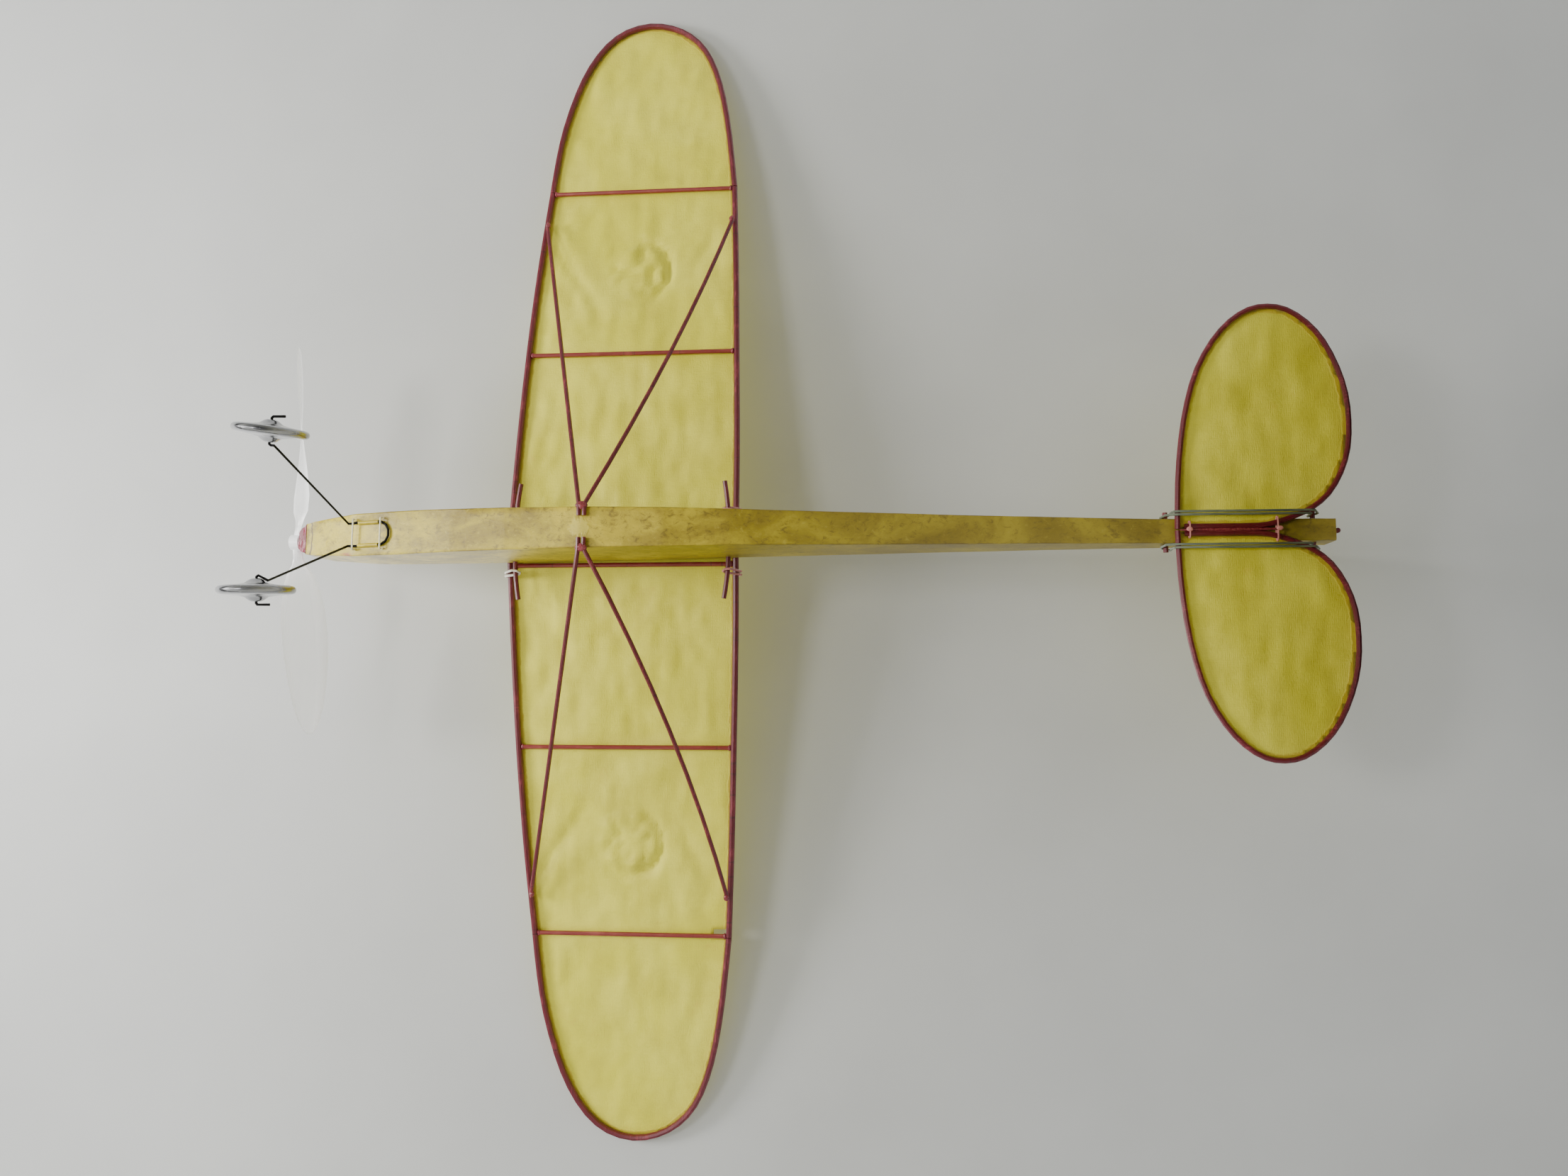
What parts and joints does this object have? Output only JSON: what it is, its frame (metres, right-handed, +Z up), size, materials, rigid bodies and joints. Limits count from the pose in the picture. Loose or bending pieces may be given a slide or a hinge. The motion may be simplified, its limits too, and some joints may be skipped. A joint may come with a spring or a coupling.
{
  "type": "rubber-powered model aeroplane",
  "caption": "High-wing stick-and-tissue model aeroplane with a clear rubber-driven propeller, strutted wing, heart-shaped tailplane, fin and wire landing gear with silver disc wheels.",
  "frame": {"origin": "centre of the bounding box in plan, on the floor plane under the wheels and the tail", "axes": "+Z up, nose towards -Y, +X towards the aeroplane's left wing tip; standing on its wheels and tail"},
  "size_m": [0.5054, 0.4272, 0.1209],
  "materials": {
    "stained_bamboo": "dark crimson stain, satin",
    "rib_bamboo": "thin red-brown stain, satin",
    "yellow_tissue": "doped tissue, slightly wrinkled",
    "ochre_card": "mottled lacquered paper over card",
    "former_card": "raw card",
    "red_paint": "crimson paint on balsa",
    "brass": "polished",
    "plug_balsa": "raw balsa",
    "black_wire": "black oxide spring wire",
    "pale_staple": "pale enamel",
    "silver_disc": "vacuum-plated silver",
    "clear_plastic": "clear moulding",
    "tan_rubber": "plain",
    "band_white": "plain",
    "band_pink": "plain",
    "band_grey": "plain",
    "thread": "waxed thread"
  },
  "bodies": {
    "airframe": {"fuselage_shell": "ochre_card", "former_gear": "former_card", "former_front": "former_card", "former_rear": "former_card", "former_tail": "former_card", "nose_block": "red_paint", "shaft_bush": "brass", "tail_plug": "plug_balsa", "wing_peg_front": "stained_bamboo", "wing_peg_rear": "stained_bamboo", "motor_peg": "stained_bamboo", "tail_peg": "stained_bamboo", "wing_leading_edge": "stained_bamboo", "wing_trailing_edge": "stained_bamboo", "wing_tip_left": "stained_bamboo", "wing_rib_root_left": "rib_bamboo", "wing_rib_inner_left": "rib_bamboo", "wing_rib_outer_left": "rib_bamboo", "wing_tissue_left": "yellow_tissue", "strut_front_left": "rib_bamboo", "strut_rear_left": "rib_bamboo", "tailplane_frame_left": "stained_bamboo", "tailplane_tissue_left": "yellow_tissue", "tail_band_left": "band_grey", "wing_tip_right": "stained_bamboo", "wing_rib_root_right": "rib_bamboo", "wing_rib_inner_right": "rib_bamboo", "wing_rib_outer_right": "rib_bamboo", "wing_tissue_right": "yellow_tissue", "strut_front_right": "rib_bamboo", "strut_rear_right": "rib_bamboo", "tailplane_frame_right": "stained_bamboo", "tailplane_tissue_right": "yellow_tissue", "tail_band_right": "band_grey", "wing_band_front": "band_white", "wing_band_rear": "band_pink", "lashing_front": "thread", "lashing_rear": "thread", "fin_frame": "stained_bamboo", "fin_foot": "stained_bamboo", "fin_tissue": "yellow_tissue", "gear_wire": "black_wire", "gear_staple_front": "pale_staple", "gear_staple_rear": "pale_staple", "rubber_motor": "tan_rubber"},
    "wheel_left_body": {"wheel_left": "silver_disc"},
    "wheel_right_body": {"wheel_right": "silver_disc"},
    "propeller_body": {"propeller": "clear_plastic", "propeller_shaft": "black_wire", "thrust_washer": "brass"}
  },
  "joints": [
    {"name": "wheel_left_spin", "type": "hinge", "parent": "airframe", "child": "wheel_left_body", "pos_m": [0.0282, -0.1958, 0.01281], "axis": [0.9806, 0.1063, -0.1645], "continuous": true},
    {"name": "wheel_right_spin", "type": "hinge", "parent": "airframe", "child": "wheel_right_body", "pos_m": [-0.0282, -0.19821, 0.01352], "axis": [0.9975, -0.0145, -0.0685], "continuous": true},
    {"name": "propeller_spin", "type": "hinge", "parent": "airframe", "child": "propeller_body", "pos_m": [0, -0.20959, 0.09657], "axis": [0, 0.9784, -0.2066], "continuous": true, "deforming": ["rubber_motor"]}
  ]
}
